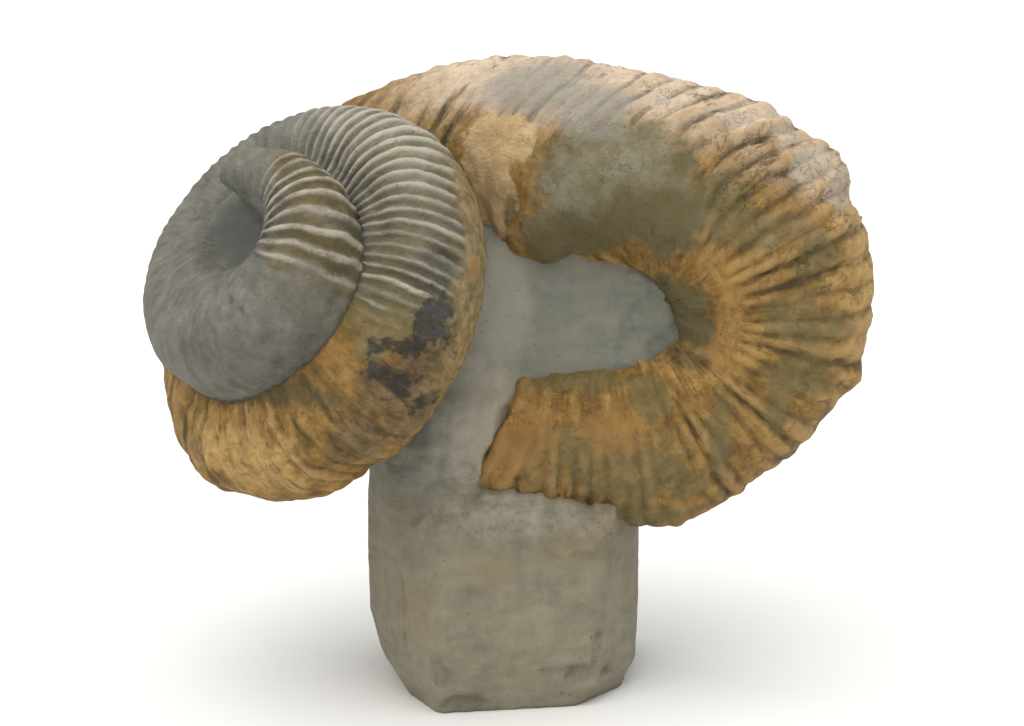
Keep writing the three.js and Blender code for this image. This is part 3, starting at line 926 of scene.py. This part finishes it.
bpy.ops.object.select_all(action="DESELECT")
bpy.ops.mesh.primitive_circle_add(
    vertices=len(rock_levels[0]) - 1, radius=PILLAR_RADIUS * MM, fill_type="NGON")
pillar = bpy.context.object
bpy.ops.object.mode_set(mode="EDIT")
bpy.ops.mesh.select_all(action="SELECT")
for level, (height, *outline) in enumerate(rock_levels):
    if level:
        bpy.ops.mesh.extrude_region_move()
    cage = bmesh.from_edit_mesh(pillar.data)
    corners = sorted((v for v in cage.verts if v.select), key=lambda v: v.index)
    for corner, (x, y) in zip(corners, outline):
        corner.co = Vector((x, y, height)) * MM
bmesh.update_edit_mesh(pillar.data)
bpy.ops.mesh.select_all(action="SELECT")
bpy.ops.mesh.normals_make_consistent(inside=False)
cage = bmesh.from_edit_mesh(pillar.data)
bpy.ops.mesh.select_all(action="DESELECT")
for edge in cage.edges:
    a, b = edge.verts
    edge.select = abs(a.co.z - b.co.z) > UPRIGHT_STEP * MM
bmesh.update_edit_mesh(pillar.data)
bpy.ops.mesh.bevel(offset=EDGE_ROUNDING * MM, segments=2)
bpy.ops.object.mode_set(mode="OBJECT")

bpy.ops.object.select_all(action="DESELECT")
bpy.ops.mesh.primitive_circle_add(vertices=CORE_SIDES, radius=1, fill_type="NGON")
core = bpy.context.object
bpy.ops.object.mode_set(mode="EDIT")
bpy.ops.mesh.select_all(action="SELECT")
along_axis = Vector((0, 0, 1)).rotation_difference(Vector(AXIS))
was_middle = Vector((0, 0, 0))
was_radius = 1.0
was_turned = False
for level, (distance, radius) in enumerate(core_stretches):
    if level:
        bpy.ops.mesh.extrude_region_move()
    middle = Vector((SPIRE_CENTRE + distance * AXIS) * MM)
    cage = bmesh.from_edit_mesh(core.data)
    for corner in cage.verts:
        if corner.select:
            reach = (corner.co - was_middle) * (radius * MM / was_radius)
            corner.co = middle + (reach if was_turned else along_axis @ reach)
    was_middle, was_radius, was_turned = middle, radius * MM, True
bmesh.update_edit_mesh(core.data)
bpy.ops.mesh.select_all(action="SELECT")
bpy.ops.mesh.normals_make_consistent(inside=False)
bpy.ops.object.mode_set(mode="OBJECT")

bpy.ops.object.select_all(action="DESELECT")
core.select_set(True)
pillar.select_set(True)
bpy.context.view_layer.objects.active = pillar
bpy.ops.object.join()
rock = pillar
rock.name = "rock"
grain = rock.modifiers.new("grain", "REMESH")
grain.mode = "VOXEL"
grain.voxel_size = ROCK_GRAIN * MM
bpy.ops.object.modifier_apply(modifier="grain")
soften = rock.modifiers.new("soften", "SMOOTH")
soften.factor = 0.5
soften.iterations = 2
bpy.ops.object.modifier_apply(modifier="soften")

# Cracks and saw marks on the faces: each is a line through these places, x, y, z.
CRACKS = [
    [(15, -30, 30.3), (20, -29, 29.4), (27.5, -27.4, 30.2)],
    [(27.5, -27.4, 31), (26.6, -27.6, 22), (25, -28, 13)],
    [(28, -25, 10), (32, -17, 8.5), (37, -6.5, 10)],
    [(-21.8, -36, 76), (-22.5, -37, 60), (-21.5, -37.3, 45), (-23, -37.2, 30), (-21.6, -37, 12)],
    [(-32, -25, 58), (-33, -24, 40), (-32.5, -25, 18)],
    [(-3, -33, 58), (10, -30, 57), (20, -28, 58.5)],
    [(10, -31, 12), (20, -29, 13), (24, -28, 13)]]
ROUGH_ZONES = [
    (-10, -22, 84, 15, 18, 24), (4, -30, 60, 34, 16, 8)]
CHIP_ZONES = [
    (-21, -37, 12, 5, 6, 5), (38, -4, 3, 7, 9, 5), (-14, -36, 2, 8, 6, 4), (20, -28, 10, 5, 4, 3)]
# painted light: rock painted paler beside the spire's lower turn and near the arm's broken end
PAINTED_LIGHT_ZONES = [
    (-3, -12, 122, 9, 24, 20), (-8, -24, 92, 12, 16, 16)]
STAIN_ZONES = [
    (-5, -34, 44, 5, 8, 4), (15, -30, 49, 7, 8, 4), (28, -27, 54, 4, 9, 7), (-28, -30, 30, 4, 9, 9)]
ARM_BED = [(-12, -20, 80, 26, 28, 36)]
ARM_SHELF = [(10, -26, 58, 40, 16, 11)]
ARM_FRONT = -28.5
ARM_END_TOP = (0.0, 98)   # x and z of the slanting broken end, at its top
ARM_END_SLANT = 0.352
ARM_DEPTH = -7.5          # y and z of the arm's middle there, and its radius
ARM_HEIGHT = 77
ARM_RADIUS = 20.6
SHELF_DEPTH = 9
ROCK_CHIP_DEPTH = 1.4
ROCK_CRACK_DEPTH = 0.45


def near_line(points, line):
    """Millimetres from each point to a line through several places."""
    nearest = np.full(len(points), 99.0)
    for start, end in zip(line[:-1], line[1:]):
        start, end = np.array(start), np.array(end)
        run = end - start
        share = np.clip((points - start) @ run / (run @ run), 0, 1)
        nearest = np.minimum(nearest, np.linalg.norm(points - start - share[:, None] * run, axis=1))
    return nearest


def weather_rock():
    """Lumps, chips, level saw marks and cracks, moved into the mesh."""
    count = len(rock.data.vertices)
    flat = np.empty(count * 3)
    rock.data.vertices.foreach_get("co", flat)
    points = flat.reshape(-1, 3) / MM
    flat = np.empty(count * 3)
    rock.data.vertices.foreach_get("normal", flat)
    normals = flat.reshape(-1, 3)
    lumps = noise_field(points, 18, octaves=3, shift=2)
    grit = noise_field(points, 3.5, octaves=4, shift=7)
    ragged = noise_field(points, 8, octaves=5, shift=19)
    level = noise_field(points * np.array([0.12, 0.12, 1]), 2.4, octaves=3, shift=13)
    upper = smooth(60, 80, points[:, 2])
    rough = smooth(-0.1, 0.5, blobs(points, ROUGH_ZONES) + 0.3 * ragged)
    chip = smooth(0.0, 0.3, blobs(points, CHIP_ZONES) + 0.4 * ragged)
    crack = np.full(count, 99.0)
    for line in CRACKS:
        crack = np.minimum(crack, near_line(points, line))
    crack += 1.5 * ragged
    height = (0.22 + 0.5 * upper) * lumps + (0.07 + 0.10 * upper) * grit + 0.08 * level * (1 - upper)
    height += rough * (0.9 * np.abs(ragged) + 0.3 * grit)
    height -= ROCK_CHIP_DEPTH * chip
    height -= ROCK_CRACK_DEPTH * smooth(1.4, 0.2, crack)
    height *= smooth(0.6, 3.0, points[:, 2])
    points += normals * height[:, None]
    # The rock comes forward to bed the broken end of the shell, and wanders where it meets the bend.
    past_end = points[:, 0] - ARM_END_TOP[0] + (ARM_END_TOP[1] - points[:, 2]) * ARM_END_SLANT
    bed = smooth(0, 0.6, blobs(points, ARM_BED) + 0.12 * ragged)
    beside_end = smooth(3.5, -1.5, past_end + 1.5 * ragged) * bed
    from_arm = np.clip(ARM_RADIUS ** 2 - (points[:, 2] - ARM_HEIGHT) ** 2, 36, None)
    flush = ARM_DEPTH - np.sqrt(from_arm) + 0.8 * ragged + 0.5 * grit
    faces_front = normals[:, 1] < 0
    points[:, 1] += (np.minimum(points[:, 1], flush) - points[:, 1]) * beside_end * faces_front
    shelf = SHELF_DEPTH * smooth(0, 0.6, blobs(points, ARM_SHELF) + 0.35 * ragged) * faces_front
    shelf_front = ARM_FRONT + 1.5 * ragged + 0.7 * grit
    points[:, 1] = np.minimum(points[:, 1], np.maximum(points[:, 1] - shelf, shelf_front))
    inside_bend = smooth(20, 36, points[:, 0]) * smooth(84, 92, points[:, 2])
    points[:, 1] += inside_bend * 2.8 * ragged * (normals[:, 1] < 0)
    points[:, 2] = np.where(points[:, 2] < 0.5, 0, points[:, 2])
    near_shell = np.full(count, 99.0)
    for place in route[::6]:
        near_shell = np.minimum(near_shell, np.linalg.norm(points - place[:3], axis=1) - place[3])
    rock.data.vertices.foreach_set("co", (points * MM).ravel())
    masks = {
        "near_shell": near_shell,
        "chip": chip,
        "crack": crack,
        "rough": rough,
        "painted_light": blobs(points, PAINTED_LIGHT_ZONES) + 0.3 * ragged,
        "stain": blobs(points, STAIN_ZONES) + 0.5 * ragged,
        "shaded": blobs(points, SHADED) + 0.15 * ragged}
    for name, values in masks.items():
        rock.data.attributes.new(name, "FLOAT", "POINT").data.foreach_set("value", values)
    rock.data.update()


weather_rock()
bpy.ops.object.select_all(action="DESELECT")
rock.select_set(True)
bpy.context.view_layer.objects.active = rock
bpy.ops.object.shade_smooth()

ROCK_TONES = [
    (0.30, (0.125, 0.118, 0.088)), (0.43, (0.190, 0.174, 0.125)), (0.53, (0.232, 0.208, 0.148)),
    (0.63, (0.270, 0.244, 0.176)), (0.76, (0.330, 0.300, 0.225))]
ROCK_BLUE_TONES = [
    (0.32, (0.125, 0.128, 0.108)), (0.48, (0.180, 0.181, 0.150)), (0.60, (0.215, 0.212, 0.172)),
    (0.74, (0.272, 0.265, 0.215))]
ROCK_STAIN = (0.245, 0.180, 0.095)
ROCK_ROUGH = (0.36, 0.32, 0.265)
ROCK_PIT = (0.095, 0.093, 0.080)
ROCK_PAINTED_LIGHT = (0.36, 0.335, 0.265)
ROCK_CHIP = (0.110, 0.100, 0.085)
ROCK_CRACK = (0.060, 0.060, 0.050)
ROCK_SPECK = (0.085, 0.080, 0.065)


def rock_finish():
    """The rock's material, browner low down and bluer high up."""
    material = bpy.data.materials.new("matrix_rock")
    material.use_nodes = True
    shader = material.node_tree.nodes["Principled BSDF"].inputs
    f = Nodes(material.node_tree)
    coarse = f.noise(55, 6, 0.65)
    medium = f.noise(210, 6, 0.68)
    marks = f.noise(330, 6, 0.65, place=f.stretched((0.18, 0.18, 1)))
    tone = f.blend((medium, 0.40), (marks, 0.25), (coarse, 0.35))
    colour = f.tones(tone, ROCK_TONES)
    height = f.nodes.new("ShaderNodeSeparateXYZ")
    f.links.new(f.place, height.inputs["Vector"])
    up = f.spread(height.outputs["Z"], 0.050, 0.080, -0.6, 0.6)
    up = f.maths("ADD", up, f.spread(coarse, 0.3, 0.7, -0.5, 0.5))
    colour = f.mix(colour, f.tones(tone, ROCK_BLUE_TONES), f.spread(up, -0.3, 0.4))
    stain = f.mask(f.attribute("stain"), 0.7, 180, 1.4)
    colour = f.mix(colour, ROCK_STAIN, f.maths("MULTIPLY", stain, 0.40))
    near = f.mask(f.spread(f.attribute("near_shell"), 0.0, 3.5, 0.4, -0.8), 0.35, 240, 1.6)
    colour = f.mix(colour, ROCK_STAIN, f.maths("MULTIPLY", near, 0.6))
    rough = f.maths("MULTIPLY", f.attribute("rough"), f.spread(medium, 0.40, 0.62, 0, 1))
    colour = f.mix(colour, ROCK_ROUGH, f.maths("MULTIPLY", rough, 0.5))
    pits = f.maths("MULTIPLY", f.attribute("rough"), f.spread(medium, 0.42, 0.34, 0, 1))
    colour = f.mix(colour, ROCK_PIT, f.maths("MULTIPLY", pits, 0.3))
    # painted light: the rock is painted paler where shade falls beside the spire and the arm's end
    painted_light = f.mask(f.attribute("painted_light"), 0.6, 160, 0.8)
    colour = f.mix(colour, ROCK_PAINTED_LIGHT, f.maths("MULTIPLY", painted_light, 0.6))
    chip = f.maths("MULTIPLY", f.attribute("chip"), f.spread(medium, 0.42, 0.60, 0.0, 1))
    colour = f.mix(colour, ROCK_CHIP, f.maths("MULTIPLY", chip, 0.6))
    crack = f.spread(f.attribute("crack"), 1.6, 0.2)
    crack = f.maths("MULTIPLY", crack, f.spread(medium, 0.40, 0.60, 0.1, 1))
    colour = f.mix(colour, ROCK_CRACK, f.maths("MULTIPLY", crack, 0.7))
    shaded = f.mask(f.attribute("shaded"), 0.40, 150, 0.5)
    colour = f.mix(colour, SHADE, f.maths("MULTIPLY", shaded, 0.92))
    grained = f.placed(stone_grain, {
        "Color": colour, "Speck Color": ROCK_SPECK, "Speck Scale": 560, "Speck From": 0.69,
        "Speck To": 0.76, "Speck Amount": 0.5, "Grain Scale": 1100, "Grain Amount": 0.22})
    f.links.new(grained["Color"], shader["Base Color"])
    f.links.new(f.spread(medium, 0.3, 0.7, 0.8, 0.95), shader["Roughness"])
    shader["Specular IOR Level"].default_value = 0.25
    normal = f.bump(grained["Grain"], 0.0005, 0.6)
    normal = f.bump(marks, 0.0007, 0.5, normal)
    normal = f.bump(medium, 0.0009, 0.5, normal)
    f.links.new(normal, shader["Normal"])
    return material


rock.data.materials.clear()
rock.data.materials.append(rock_finish())
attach(rock, "root")
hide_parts("rock_matrix")

# ------------------------------------------------------------------------------ floor and light
# A plain pale floor under the fossil, a wide soft light above it to the left, and the world's even light
# as fill.
bpy.ops.object.select_all(action="DESELECT")
bpy.ops.mesh.primitive_plane_add(size=6, location=(0, 1.0, 0))
floor = bpy.context.object
floor.name = "floor"
floor_finish = bpy.data.materials.new("floor")
floor_finish.use_nodes = True
floor_shader = floor_finish.node_tree.nodes["Principled BSDF"].inputs
floor_shader["Base Color"].default_value = (0.80, 0.80, 0.79, 1)
floor_shader["Roughness"].default_value = 0.9
floor.data.materials.append(floor_finish)

world = bpy.data.worlds.new("room")
bpy.context.scene.world = world
world.use_nodes = True
world.node_tree.nodes["Background"].inputs["Color"].default_value = (0.98, 0.99, 1.0, 1)
world.node_tree.nodes["Background"].inputs["Strength"].default_value = 0.80
bpy.context.scene.view_settings.view_transform = "Standard"

bpy.ops.object.light_add(
    type="SUN", location=(-0.3, -0.4, 1.2), rotation=(math.radians(16), math.radians(-12), 0))
overhead = bpy.context.object
overhead.name = "overhead"
overhead.data.angle = math.radians(75)
overhead.data.energy = 2.7
overhead.data.color = (1.0, 0.97, 0.92)

bpy.context.view_layer.update()
